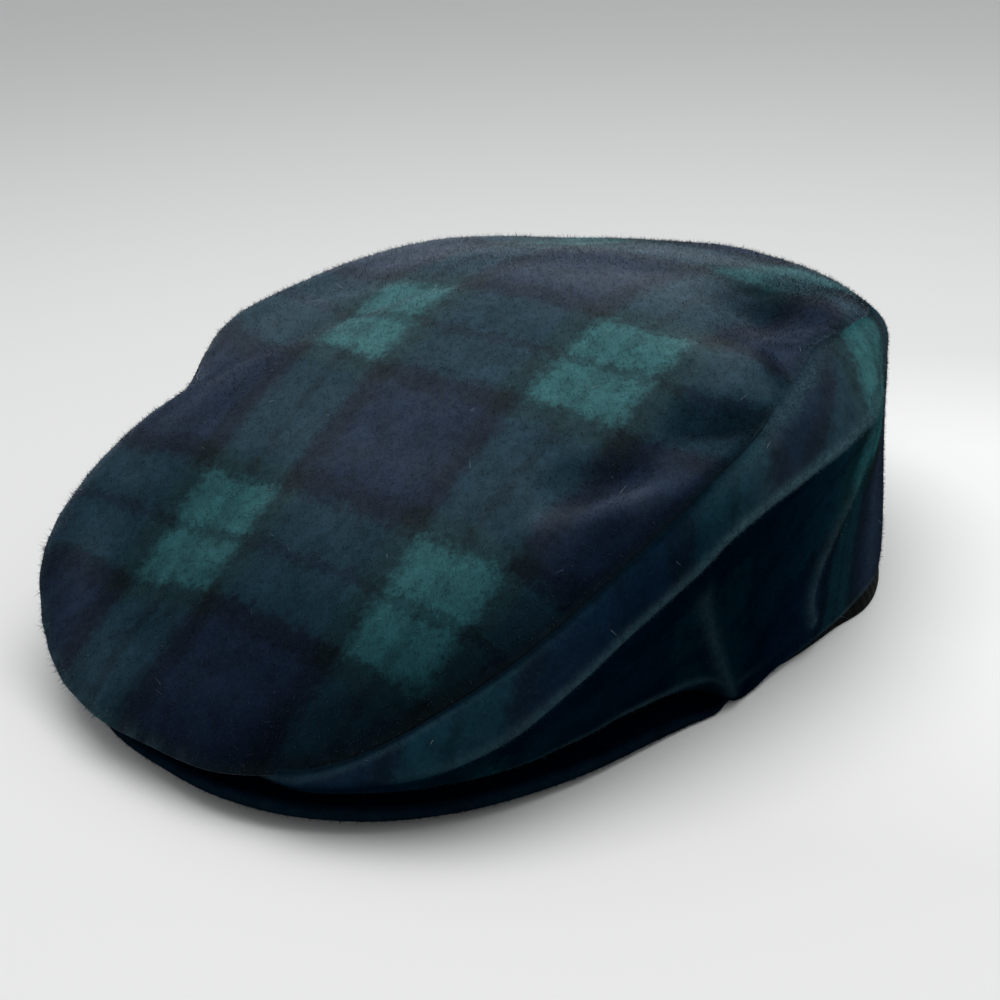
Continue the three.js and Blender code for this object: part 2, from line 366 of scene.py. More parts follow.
def check(w, axes, threads, feather):
    t = tartan
    edge, (lineIn, lineOut) = t["edge"], t["line"]
    (green, greenV), (black, blackV) = t["green"], t["black"]
    # distance from the middle of the green band in repeats, with feathered threads
    strays = [(thread - 0.5) * feather for thread in threads]
    u, v = (abs((axis + 0.5 + stray).math("FRACT") - 0.5) for axis, stray in zip(axes, strays))

    def bands(first, second, third, dim):
        thin = tuple(c * dim for c in first)
        stops = [(0, thin), (lineIn, thin), (lineOut, first), (green - edge, first), (green + edge, second)]
        stops += [(black - edge, second), (black + edge, third), (0.5, third)]
        return w.make("ValToRGB", {"stops": stops}, {0: u})

    onGreen = bands(t["greenGreen"], t["greenBlack"], t["greenBlue"], t["lineDim"][0])
    onBlack = bands(t["greenBlack"], t["blackBlack"], t["blackBlue"], t["lineDim"][1])
    onBlue = bands(t["greenBlue"], t["blackBlue"], t["blueBlue"], t["lineDim"][2])
    pattern = v.between(greenV - edge, greenV + edge).tint(onGreen, onBlack)
    pattern = v.between(blackV - edge, blackV + edge).tint(pattern, onBlue)
    return (t["lineAlong"] * (1 - v.between(lineIn, lineOut))).tint(pattern, onBlack)


def wool(name, look):
    material, shader, w = newMaterial(name)
    spot = w.make("TexCoord", out="Object")
    axes = w.make("UVMap", {"uv_map": "cloth"}).split()
    # painted light and shade, and raised nap with its painted highlight
    lie, fuzz = w.make("UVMap", {"uv_map": "lie"}).split()
    pattern = check(w, axes, spot.noise(look["threads"], 5.0, 0.72, out=1).split(), look["feather"])

    # brushed surface: clouds and clumps of nap, fine light hairs, a trace of twill
    cloud = spot.noise(look["cloud"][0], 5.0, 0.65)
    clump = spot.noise(look["clump"][0], 2.0, 0.5, 0.4)
    grain = spot.noise(look["grain"][0], 4.0, 0.7, 1.2)
    twill = ((axes[0] + axes[1]) * look["twill"][0]).math("SINE")
    hairs = w.make("TexVoronoi", {"feature": "DISTANCE_TO_EDGE"}, {"Vector": spot, "Scale": look["hairs"]})
    shade = cloud * look["cloud"][1] + clump * look["clump"][1]
    shade = shade + (grain - 0.5) * look["grain"][1] + twill * look["twill"][1]
    # painted shade: shaded cloth is painted darker and bluer, and shows less of the check
    pattern = (look["plain"] * (1 - lie.between(*look["plainBelow"]))).tint(pattern, tartan["paintedDark"])
    grey = w.make("CombineXYZ", None, {k: shade * lie**power for k, power in enumerate(look["deep"])})
    multiply = {"data_type": "RGBA", "blend_type": "MULTIPLY"}
    colour = w.make("Mix", multiply, {0: 1.0, 6: pattern, 7: grey}, out=2)
    # painted sheen: pale grey where the painted light is strongest
    colour = (lie**3 * (0.30 + clump * 0.4) * look["paintedSheen"]).tint(colour, look["paintedSheenColour"])
    # raised nap on ridges and rims, with a painted highlight
    colour = (fuzz * (0.35 + clump * 0.9)).math("MINIMUM", 0.9).tint(colour, look["fuzzHighlightColour"])
    lint = (1 - hairs.between(0.0, 0.09)) * grain.between(0.5, 0.72) * lie.between(0.0, 0.9) * look["lint"]
    lint.tint(colour, look["hairColour"]).into(shader, "Base Color")
    (0.84 + grain * 0.14).into(shader, "Roughness")
    height = grain + cloud * 0.5 + hairs * 0.6 + twill * 0.06
    bump = w.make("Bump", None, {"Strength": look["bump"], "Distance": 0.6 * mm, "Height": height})
    bump.into(shader, "Normal")
    shader.inputs["Specular IOR Level"].default_value = look["gloss"]
    shader.inputs["Sheen Weight"].default_value = look["sheen"]
    shader.inputs["Sheen Roughness"].default_value = look["sheenRough"]
    shader.inputs["Sheen Tint"].default_value = (*look["sheenTint"], 1)
    return material


woolLook = {
    "feather": 0.15,  # how far threads stray over a band's edge
    "threads": 380.0,  # how fine they are
    "cloud": (120.0, 1.15),  # how fine, and how much it changes the shade
    "clump": (330.0, 0.46),
    "grain": (1150.0, 0.40),
    "twill": (330.0, 0.03),
    "hairs": 520.0,
    "lint": 0.16,
    "hairColour": (0.09, 0.13, 0.15),
    # painted sheen: how much, and its colour
    "paintedSheen": 0.16,
    "paintedSheenColour": (0.21, 0.25, 0.27),
    "fuzzHighlightColour": (0.046, 0.094, 0.114),
    "bump": 0.18,
    "sheen": 0.40,
    "sheenRough": 0.28,
    "sheenTint": (0.62, 0.74, 0.95),
    "gloss": 0.02,
    "plain": 0.0,
    "plainBelow": (0.05, 0.45),
    "deep": (1.20, 0.93, 0.85),  # painted shade: how red, green and blue fall off where it is shaded
}
# side panels and peak: no sheen, a stronger painted shade tint, and a plainer check in painted shade
shadeLook = {**woolLook, "sheen": 0.0, "gloss": 0.0, "plain": 0.88, "paintedSheen": 0.20, "deep": (2.1, 0.95, 0.88)}
napLook = {"bump": 0.1, "lint": 0.3}
crownWool = wool("crownTartan", woolLook)
sideWool = wool("sideTartan", shadeLook)
peakWool = wool("peakTartan", shadeLook)
crownNap = wool("crownNap", {**woolLook, **napLook})
sideNap = wool("sideNap", {**shadeLook, **napLook})
print("tartan materials made")

topCheck = {
    "middle": (9, -50),
    "step": 50,
    "across": (0.490, 0.6385, 0.027),  # at the middle, then for a step to the left and to the back
    "along": (0.541, -0.011, 0.693),
    "close": 0.031,  # how the bands along close up towards the back
    "skew": 0.020,
    "bow": (0.0145, 0.0375),  # how they bow at the sides, and how that grows to the back
    "bowEnd": 0.7,
    "backPull": (0.12, 0.5, 2.3),  # how far they are drawn, from where to where
    "cornerPull": 0.22,  # the same at the back left corner
    "cornerFrom": (1.1, 1.1),
    "cornerTo": (1.55, 1.7),
}


def clothOnTop(points):
    look = topCheck
    x, y = ((points[..., k] - look["middle"][k]) / look["step"] for k in (0, 1))
    low = np.minimum(y, look["bowEnd"])
    (u0, uX, uY), (v0, vX, vY), (bow, bowBack) = look["across"], look["along"], look["bow"]
    v = v0 + vX * x + vY * y - look["close"] * y**2 - look["skew"] * x * low - (bow + bowBack * low) * x**2
    pull, start, end = look["backPull"]
    corner = [ease(p, look["cornerFrom"][k], look["cornerTo"][k]) for k, p in enumerate((x, y))]
    v = v - pull * ease(y, start, end) + look["cornerPull"] * corner[0] * corner[1]
    return np.stack([u0 + uX * x + uY * y, v], -1)


# Single fibres of the wool, and the few long pale ones
fibreLook = {"radius": 0.08, "root": 0.12, "strays": 0.0014, "strayPale": 3.0, "strayLong": 1.8}


def napFibres(name, grid, cloth, lie, look, material):
    # short tapered fibres on a grid of the outer face, closer where it is fuzzy
    count, fibre = look["count"], fibreLook
    a, b, c, d = grid[:-1, :-1], grid[1:, :-1], grid[1:, 1:], grid[:-1, 1:]
    size = np.linalg.norm(np.cross(c - a, d - b), axis=-1) / 2
    size = size * (1 + look["fuzzy"] * lie[:-1, :-1, 1])
    odds = np.cumsum(size.ravel())
    pick = np.searchsorted(odds, rng.random(count) * odds[-1])
    i, j = np.unravel_index(np.clip(pick, 0, size.size - 1), size.shape)
    s, t = rng.random((2, count, 1))

    def blend(g):
        near = (1 - t) * g[i, j] + t * g[i, j + 1]
        far = (1 - t) * g[i + 1, j] + t * g[i + 1, j + 1]
        return (1 - s) * near + s * far

    def drawn(low, high, power):
        return low + (high - low) * rng.random((count, 1)) ** power

    root, spot, flat = blend(grid), blend(cloth), blend(lie)
    n = unit(np.cross((d - a)[i, j], (b - a)[i, j]))
    loose = inSurface(rng.normal(size=(count, 3)), n)
    rise = drawn(*look["rise"], 1.5)
    way = unit(n * np.sin(rise) + loose * np.cos(rise))
    long = drawn(*look["long"], 3) * (1 + look["stray"] * flat[:, 1:])
    stray = rng.random(count) < fibre["strays"]
    # the fibres' painted light is paler than the cloth's, and paler still on stray fibres
    flat[:, 0] *= look["pale"] * np.where(stray, fibre["strayPale"], 1.0)
    long[stray] *= fibre["strayLong"]
    across = fibre["radius"] * unit(np.cross(way, rng.normal(size=(count, 3))))
    foot = root - fibre["root"] * n
    points = np.stack([foot - across, foot + across, foot + way * long], 1)
    faces = np.arange(3 * count).reshape(-1, 3)
    clothAt = np.repeat(spot[:, None], 3, 1)
    low, high = spot.min(0), spot.max(0)
    bake = 0.02 + 0.96 * (clothAt - low) / (high - low) + 0.0006 * np.array([[0, 0], [1, 0], [0, 1]])
    shadeAndFuzzAt = np.repeat((flat * (1, look["tinted"]))[:, None], 3, 1)
    meshPiece(name, points, faces, clothAt, bake, shadeAndFuzzAt, material)


# The one large top panel
crownLook = {
    "columns": 480,
    "rows": 112,
    "rowPower": 0.9,
    "dents": [  # heading, share of the way to the seam, depth, radius
        (66, 0.89, 3.6, 13),
        (108, 0.78, 3.8, 14),
        (46, 0.77, 2.4, 11),
        (-62, 0.86, -3.4, 17),
    ],
    "dentPower": 24,  # how suddenly the dents end at the seam
    "ridges": [  # a bent line in plan, height, width
        ([(64, -60), (77, -49), (87, -39)], 1.6, 5.5),
        ([(64, 6), (76, 11)], 1.3, 8.0),
    ],
    "hollows": [
        ([(60, -45), (67, -41), (76, -37)], 2.2, 5.0),
        ([(77, -13), (84, -10), (89, -8)], 3.0, 6.0),
        ([(48, 56), (65, 37), (78, 22), (87, 10)], 2.4, 6.5),
        ([(-66, 5), (-50, 55), (-5, 88)], 1.3, 26.0),
    ],
    "overhang": [  # heading, spread, seam out and up: the front edge hangs over the peak and the right side
        *capForm["settled"],
        (-32, 14, 4.4, -6.8, 0, 0),
        (-17, 6, -0.2, -1.5, 0, 0),
        (-8, 9, 0.6, -1.8, 0, 0),
        (-45, 8, 1.5, 0.5, 0, 0),
        (6, 10, 0.5, -1.6, 0, 0),
    ],
    "shadePatches": [  # a bent line in plan, how much painted highlight or painted shade lies there, width
        ([(77, -16), (84, -11), (90, -9)], -0.80, 7.5),
        ([(76, 18), (87, 10)], -0.45, 3.5),
        ([(63, 84), (53, 80), (57, 54)], -0.82, 14.0),
        ([(34, 66), (44, 74)], -0.42, 10.0),
        ([(75, 27), (73, 50)], -0.38, 10.0),
        ([(52, 43), (63, 21)], -0.22, 9.0),
        ([(70, -29), (74, -26)], -0.30, 5.0),
        ([(66, -61), (72, -54), (80, -46)], 0.62, 5.0),
        ([(60, -48), (66, -45)], -0.30, 5.0),
        ([(62, 6), (74, 2)], 0.15, 8.0),
        ([(-44, -82), (-28, -76)], -0.24, 11.0),
        ([(-62, -105), (-50, -119), (-25, -129)], 0.60, 9.0),
        ([(-74, -28), (-60, -10)], 0.20, 12.0),
        ([(-38, 20), (-10, 36), (16, 50)], -0.28, 13.0),
        ([(-56, -44), (-60, -70)], -0.18, 12.0),
    ],
    # painted light on the top, painted shade at the front, the near side, the back and by the seam:
    # strength, from where to where in mm
    "topLight": (0.55, -10, 40),
    "frontShade": (0.55, 55, 115),
    "nearSideShade": (0.12, 0, 50),
    "backShade": (0.35, 72, 116),
    "seamSideShade": (0.61, 2, 44),
    "foldShade": 0.9,  # how much painted light and shade the folds get, and the way that painted light comes from
    "brushed": (-0.45, 0.45, 0.77),
    "edgeFuzzAndHighlight": (0.50, -18, 19),  # raised nap with a painted highlight on the front rim: strength, heading, spread
    "cornerFuzzAndHighlight": (98, 16),  # heading and spread of the back corner's share
    "unevenness": 0.22,
    "waves": (14, 16, 55),
    "rollOver": (1.3, 11, 7.5),  # the roll beside the seam: height, how far in, width
    "frontWave": (0.40, -10, 22),
    "halfPlan": (105, 140),
    "flat": (0.225, 0.290),
    "area": 0.0445,
    "nap": {
        "count": 185000, "long": (0.5, 2.3), "rise": (0.10, 1.25), "pale": 1.2,
        "fuzzy": 10.0, "stray": 1.1, "tinted": 1.2,
    },
}


def crownPoint(heading, share):
    s = section(heading, crownLook["overhang"])
    round2 = capForm["summitRound"] ** 2
    soft = lambda v: (v * v + round2) ** (s["fullness"] / 2)
    fall = (soft(share) - soft(0)) / (soft(1) - soft(0))
    z = s["seamZ"] + (capForm["summit"][2] - s["seamZ"]) * (1 - fall)
    p = place(heading, s["seamR"] * share, z)
    free = 1 - share ** crownLook["dentPower"]
    for h, at, depth, radius in crownLook["dents"]:
        centre = place(h, section(h)["seamR"] * at, p[..., 2])
        p[..., 2] -= depth * free * bell(np.linalg.norm((p - centre)[..., :2], axis=-1), 0, radius)
    return p


def crownGrid():
    # the outer face, its normals, how the folds tilt them, distances to and along the seam
    look = crownLook
    heading = np.linspace(-180, 180, look["columns"], endpoint=False)[:, None]
    seamR = section(heading, look["overhang"])["seamR"]
    trim = (seamLook["tight"] + seamLook["corner"]) / seamR
    share = np.linspace(0, 1, look["rows"] + 1)[None, 1:] ** look["rowPower"] * (1 - trim)
    toSeam, along = (1 - share) * seamR, np.radians(heading) * seamR
    smooth = crownPoint(heading, share)
    plan = smooth[..., :2]
    lift = look["unevenness"] * ripple(smooth, look["waves"], 5)
    for line, height, width in look["ridges"]:
        lift += height * bell(nearLine(plan, line), 0, width)
    for line, depth, width in look["hollows"]:
        lift -= depth * bell(nearLine(plan, line), 0, width)
    lift *= 1 - np.exp(-toSeam / seamLook["calm"])
    lift += pucker(along, toSeam)
    wave = np.sin(along * 0.55 + 1.3 * np.sin(along * 0.21)) * np.exp(-toSeam / 3)
    lift += hump(heading, look["frontWave"]) * wave
    lift += hump(toSeam, look["rollOver"]) - hump(toSeam, seamLook["sink"])
    before = outNormals(smooth, True, upwards)
    outer = smooth + before * lift[..., None]
    normals = outNormals(outer, True, upwards)
    return heading, outer, normals, normals - before, toSeam, along


def crownShadeAndFuzz(heading, outer, tilt, toSeam, along):
    # painted light and shade, and how fuzzy it is with a painted highlight
    look = crownLook
    x, y, plan = outer[..., 0], outer[..., 1], outer[..., :2]
    ragged = 0.75 + 0.45 * np.sin(along * 0.45 + 2 * np.sin(along * 0.13))
    fuzz = hump(heading, look["edgeFuzzAndHighlight"]) * bell(toSeam, 0.6, 1.8) * ragged
    everywhere, corner = seamLook["fuzz"]
    nearSeam = everywhere + corner * bell(heading, *look["cornerFuzzAndHighlight"])
    fuzz = np.maximum(fuzz, nearSeam * bell(toSeam, 0.5, 1.6))

    # painted light on the top, painted shade at the front, the near side, the back and close to the seam
    strength, start, end = look["topLight"]
    pale = 1 + strength * ease(y, start, end)
    for name, far in (("frontShade", -y), ("nearSideShade", x), ("backShade", y)):
        strength, start, end = look[name]
        pale = pale * (1 - strength * ease(far, start, end))
    strength, start, end = look["seamSideShade"]
    near = ease(heading, -5, 25) * (1 - ease(heading, 46, 60))
    pale = pale * (1 - strength * near * (1 - ease(toSeam, start, end)))
    # painted shade in the seam's groove
    paintedDark = ease(heading, -2, 12) * (1 - 0.6 * ease(heading, 66, 86))
    pale = pale * (1 - paintedDark * hump(toSeam, seamLook["grooveShade"]))
    # painted highlight and shade in patches
    for line, change, width in look["shadePatches"]:
        pale = pale * (1 + change * bell(nearLine(plan, line), 0, width))
    # painted light and shade on the folds, as lit from one way
    pale = pale * np.clip(1 + look["foldShade"] * (tilt @ unit(np.array(look["brushed"]))), 0.45, 1.5)
    return np.stack([pale, fuzz], -1)


def crownTop():
    look = crownLook
    heading, outer, normals, tilt, toSeam, along = crownGrid()
    lie = crownShadeAndFuzz(heading, outer, tilt, toSeam, along)
    n, m = outer.shape[:2]
    thick = capForm["cloth"]
    innerRows = np.unique(np.r_[np.arange(2, m - 8, 4), np.arange(m - 8, m - 2)])
    inner = outer[:, innerRows] - thick * normals[:, innerRows]
    edge = seamEdge(outer[:, -1], outer[:, -2], normals[:, -1], thick)
    sheet = np.concatenate([outer, edge, inner[:, ::-1]], 1)
    rows = sheet.shape[1]
    faces = loopFaces(n, rows, True).reshape(n, rows, 4)[:, :-1].reshape(-1, 4).tolist()
    top, under = n * rows, n * rows + 1  # one point closes each face at the summit
    for i in range(n):
        k = (i + 1) % n
        faces.append([top, i * rows, k * rows])
        faces.append([under, k * rows + rows - 1, i * rows + rows - 1])
    points = np.concatenate([sheet.reshape(-1, 3), [outer[:, 0].mean(0), inner[:, 0].mean(0)]])

    # bake: outer face on the left, inner face, half as large, on the right
    inside = np.concatenate([np.tile(np.arange(rows) >= m + 3, n), [False, True]])
    half = np.array(look["halfPlan"])
    flat = (points[:, :2] + half) / (2 * half)
    onLeft, onRight = flat * (0.64, 0.85) + (0.01, 0.02), flat * (0.32, 0.425) + (0.67, 0.02)
    bake = np.where(inside[:, None], onRight, onLeft)
    # painted light and shade, and fuzz, for every point; the two summit points get full light and no fuzz
    allShadeAndFuzz = np.concatenate([lie, np.repeat(lie[:, -1:], edgeSteps, 1), lie[:, innerRows][:, ::-1]], 1)
    allShadeAndFuzz = np.r_[allShadeAndFuzz.reshape(-1, 2), [[1, 0], [1, 0]]]
    piece = meshPiece("crown", points, faces, clothOnTop(points), bake, allShadeAndFuzz, crownWool)
    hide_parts("crown_top")
    ringed, ringedShadeAndFuzz = (np.concatenate([g, g[:1]]) for g in (outer, lie))
    napFibres("crown_nap", ringed, clothOnTop(ringed), ringedShadeAndFuzz, look["nap"], crownNap)
    under = ["side_left", "side_right"]


# The two side panels, folded over along a soft crease
sideGap = math.degrees(capForm["seamGap"] / 2 / 105)  # half the gap at the centre back
sideLook = {
    "tipAt": 12,  # heading of the front tip
    "columns": [(12, 56, 64), (56, 78, 62), (78, 178.6, 116), (178.6, 180 - sideGap, 9)],
    "rows": [(0, 0.30, 22), (0.30, 0.50, 44), (0.50, 0.74, 22), (0.74, 0.92, 26), (0.92, 1, 9)],
    "foldShare": 0.4,  # shares of the way from the seam to the edge
    "hemShare": 0.8,
    "puff": (2.2, 0.12),  # how far the band under the seam swells, and its share of the band's height
    "foldCrease": (0.8, 2.4),  # height and width of the crisp bend
    "hemCrease": (0.7, 2.4),
    "tuckIn": 2.2,  # how far the face falls in under the fold
    "bend": 14,  # how many times the bend is smoothed
    "creases": [  # a bent line of headings and shares, out, width, raised nap with a painted highlight: strength and width
        ([(59.6, 0.54), (62.8, 0.68), (66.2, 0.82), (67.2, 0.96)], 2.6, 5.0, 0.19, 2.4),
        ([(104, 0.38), (98.7, 0.416), (96.4, 0.495), (94.4, 0.543),
          (91.6, 0.585), (87.4, 0.657), (86.4, 0.71), (88.2, 0.77)], 2.2, 6.0, 0.36, 2.2),
    ],
    "creaseScale": (100, 110),  # mm for each radian round the cap, and from the seam to the edge
    "edges": [  # heading, spread, lower edge out and up
        (88, 14, -1.4, 1.0),
        (66.0, 4.0, 1.0, -0.9),
    ],
    "hemFollows": 0.6,
    "tucked": [  # heading, spread, seam out and up, fold out and up: the right panel under the top's edge
        *capForm["settled"],
        (-30, 16, -3.5, -2.5, -6.0, -4.0),
        (-16, 10, -2.5, 0, -3.0, 0),
        (-58, 10, -1.0, -0.6, -1.5, -0.5),
    ],
    "tipUnder": (4.0, 10, 18),  # how far the left tip lies in, from where to where
    "tuckTip": (6.0, 16, 14),  # how far the right tip lies in, heading, spread
    "slim": (1.8, 128, 22),  # how far the back corner lies in, heading, spread
    "backRadius": 108,
    "tipRadius": 155,
    "unevenness": 0.20,
    "waves": (14, 14, 48),
    "rollOver": (0.30, 6.0, 4.0),
    "foldFuzzAndHighlight": (0.52, 0.85),  # raised nap and painted highlight along the fold: strength and width
    "hemFuzzAndHighlight": (0.36, 1.2),
    "lie": [  # heading, painted shade: how pale the cloth is above the fold and below it
        (12, 0.46, 0.17),
        (36, 0.50, 0.21),
        (50, 0.34, 0.15),
        (63, 0.50, 0.12),
        (70, 0.72, 0.14),
        (80, 0.67, 0.20),
        (88, 0.78, 0.34),
        (94, 0.84, 0.42),
        (103, 0.86, 0.50),
        (111, 0.86, 0.76),
        (125, 0.86, 0.56),
        (180, 0.86, 0.50),
    ],
    "repeat": (78.0, 87.36),  # the check along the panel and down it
    "crossing": (109.5, 18.0),  # heading of the bright crossing and how far it lies below the seam
    "slant": (0.23, 0.80, 0.45),  # how the check leans: at the front, the back corner, along
    "flat": (0.105, 0.300),
    "area": 0.0215,
    "nap": {
        "count": 90000, "long": (0.4, 1.6), "rise": (0.10, 1.2), "pale": 1.25,
        "fuzzy": 6.0, "stray": 0.0, "tinted": 0.7,
    },
}


def splineThrough(points, t):
    # the same even curve through the points as in the solids
    count = len(points)
    p = (count - 1) * t
    k = np.minimum(np.floor(p).astype(int), count - 2)
    w = (p - k)[..., None]
    at = lambda q: points[np.clip(q, 0, count - 1)]
    p0, p1, p2, p3 = at(k - 1), at(k), at(k + 1), at(k + 2)
    v0, v1 = (p2 - p0) / 2, (p3 - p1) / 2
    return (2 * p1 - 2 * p2 + v0 + v1) * w**3 + (-3 * p1 + 3 * p2 - 2 * v0 - v1) * w**2 + v0 * w + p1


def panelMarks(heading, sign, bent):
    # points on each section's curve, from the seam to the lower edge
    look = sideLook
    s = section(sign * heading, look["tucked"])
    if sign > 0:
        for centre, spread, out, up in look["edges"]:
            near = bell(heading, centre, spread)
            for part, some in (("edge", 1.0), ("hem", look["hemFollows"])):
                s[part + "R"] = s[part + "R"] + some * out * near
                s[part + "Z"] = s[part + "Z"] + some * up * near
        under, start, end = look["tipUnder"]
        for part in ("seamR", "foldR", "hemR", "edgeR"):
            s[part] = s[part] - under * (1 - ease(heading, start, end))
    else:
        for part in ("hemR", "edgeR"):
            s[part] = s[part] - hump(heading, look["tuckTip"])
    seam, fold, hem, edge = (np.stack([s[k + "R"], s[k + "Z"]], -1) for k in ("seam", "fold", "hem", "edge"))
    most, some = look["puff"]
    puff = np.minimum(most, some * (s["seamZ"] - s["foldZ"]))
    belly = (seam + fold) / 2 + np.stack([puff, 0.4 * puff], -1)
    face = (fold + hem) / 2
    face[:, 0] -= look["tuckIn"] * bent * bell(heading, 62, 34)
    return np.stack([seam, belly, fold, face, hem, edge])


def panelProfiles(marks, bent, thick, share):
    # each section's curve, bent where it folds, and how far down each row lies
    look = sideLook
    foldShare = look["foldShare"]
    fine = np.linspace(0, 1, 401)
    profile, reach = [], []
    for i in range(marks.shape[1]):
        curve = splineThrough(marks[:, i], fine)
        above = splineThrough(marks[:3, i], np.clip(fine / foldShare, 0, 1))
        below = splineThrough(marks[2:, i], np.clip((fine - foldShare) / (1 - foldShare), 0, 1))
        curve += bent[i] * (np.where(fine[:, None] < foldShare, above, below) - curve)
        for _ in range(look["bend"]):
            curve[1:-1] = (curve[:-2] + 2 * curve[1:-1] + curve[2:]) / 4
        run = runAlong(curve)
        first, last = seamLook["tight"] + seamLook["corner"], run[-1] - thick[i] / 2
        reach.append(first + (last - first) * np.interp(share, fine, run) / run[-1])
        profile.append(np.stack([np.interp(reach[-1], run, curve[:, k]) for k in (0, 1)], -1))
    return np.array(profile), np.array(reach)


def panelCreases(h, share):
    # the left face's creases: how far they stand out, and their raised nap with its painted highlight
    round1, down1 = sideLook["creaseScale"]
    flat = np.stack(np.broadcast_arrays(np.radians(h) * round1, share * down1), -1)
    free = np.clip((share - 0.36) / 0.08, 0, 1) * np.clip((0.98 - share) / 0.14, 0, 1)
    out = fuzz = np.zeros(flat.shape[:2])
    for line, tall, width, strength, wide in sideLook["creases"]:
        far = nearLine(flat, [(math.radians(at) * round1, down * down1) for at, down in line])
        out = out + free * tall * (0.5 * bell(far, 0, width) + 0.7 * crisp(far, 0.45 * width))
        fuzz = np.maximum(fuzz, free * strength * bell(far, 0, wide))
    return out, fuzz


def panelFuzzAndHighlight(h, sign, bent, reach, foldAt, hemAt):
    # raised nap with a painted highlight along the fold, the seam, the hem and the lower edge
    strength, wide = sideLook["foldFuzzAndHighlight"]
    strength = strength * (1 + 1.2 * ease(h, 54, 74)) * bent
    everywhere, corner = seamLook["fuzz"]
    hemStrength, hemWide = sideLook["hemFuzzAndHighlight"]
    return np.max([
        strength * bell(reach, foldAt, np.where(reach < foldAt, 2.2 * wide, wide)),
        everywhere * bell(reach, 0.5, 1.6),
        2.2 * corner * bell(sign * h, 84, 18) * bell(reach, 3.0, 3.0),
        0.8 * corner * bell(sign * h, 18, 24) * bell(reach, 2.6, 1.2),
        hemStrength * bell(h, 48, 18) * bell(reach, hemAt, hemWide),
        hemStrength * bell(h, 104, 18) * bell(reach, reach[:, -1:], 1.0),
    ], 0)


def panelCheck(heading, reach):
    # repeats of the check along the seam and down, and distances along the seam
    look = sideLook
    s, h = section(heading), heading[:, None]
    run = runAlong(place(heading, s["seamR"], s["seamZ"]))
    crossAt, crossDown = look["crossing"]
    before = (np.interp(crossAt, heading, run) - run)[:, None]
    before = before * (1 - 0.06 * ease(before, 60, 160))
    lean, leanBack, leanAlong = look["slant"]
    back, down = ease(h, 82, 106), reach - crossDown
    repeatAlong, repeatDown = look["repeat"]
    u = ((lean + (leanBack - lean) * back) * np.minimum(down, 8 + 24 * back) - before) / repeatAlong
    v = (down - leanAlong * np.minimum(before, 70)) / repeatDown
    return np.stack([u, v], -1), run


def panelShape(heading, share, sign):
    # the outer face, the wall, distances down the cloth and the raised nap with its painted highlight
    look = sideLook
    h = heading[:, None]
    bent = np.clip((heading - 24) / 16, 0, 1) * (1 - 0.85 * ease(heading, 90, 104))
    marks = panelMarks(heading, sign, bent)
    thick = np.minimum(capForm["cloth"], 0.4 * (marks[0, :, 1] - marks[-1, :, 1]))
    profile, reach = panelProfiles(marks, bent, thick, share)
    bent = bent[:, None]
    rowAt = lambda at: np.array([np.interp(at, share, row) for row in reach])[:, None]
    foldAt, hemAt = rowAt(look["foldShare"]), rowAt(look["hemShare"])
    down = unit(np.gradient(profile, axis=1))
    away = np.stack([-down[..., 1], down[..., 0]], -1)  # outward in the section's plane
    tall, wide = look["foldCrease"]
    push = tall * bent * crisp(reach - foldAt, wide)
    tall, wide = look["hemCrease"]
    push = push + tall * bell(h, 42, 20) * crisp(reach - hemAt, wide, 0.4)
    profile = profile + away * push[..., None]
    r = profile[..., 0]
    fuzz = panelFuzzAndHighlight(h, sign, bent, reach, foldAt, hemAt)
    if sign > 0:
        out, creaseFuzzAndHighlight = panelCreases(h, share)
        r = r - hump(h, look["slim"]) * ease(share, 0.1, 0.4) + out
        fuzz = np.maximum(fuzz, creaseFuzzAndHighlight)
    outer = place(sign * h, r, profile[..., 1])
    outward = outer - (*capForm["summit"][:2], 40.0)
    calm = (1 - np.exp(-reach / seamLook["calm"])) * np.clip((h - look["tipAt"]) / 20, 0, 1)
    calm = calm * np.clip((180 - h) / 5, 0, 1)
    lift = look["unevenness"] * ripple(outer, look["waves"], 9 if sign > 0 else 10) * calm
    seamRise = hump(reach, look["rollOver"]) - hump(reach, seamLook["sink"])
    lift += np.clip((h - 16) / 12, 0, 1) * (pucker(np.radians(h) * marks[0, :, :1], reach) + seamRise)
    outer = outer + outNormals(outer, False, outward) * lift[..., None]
    normals = outNormals(outer, False, outward)

    # rounded ends at the front tip and the centre back
    backGap = np.radians(180 - sideGap - heading) * look["backRadius"]
    tipGap = np.radians(heading - look["tipAt"]) * look["tipRadius"]
    hold = np.sqrt(1 - np.clip(1 - np.minimum(backGap, tipGap), 0, 0.985) ** 2)
    outer = outer - normals * (thick * (1 - hold) / 2)[:, None, None]
    return outer, normals, thick * hold, reach, foldAt, fuzz


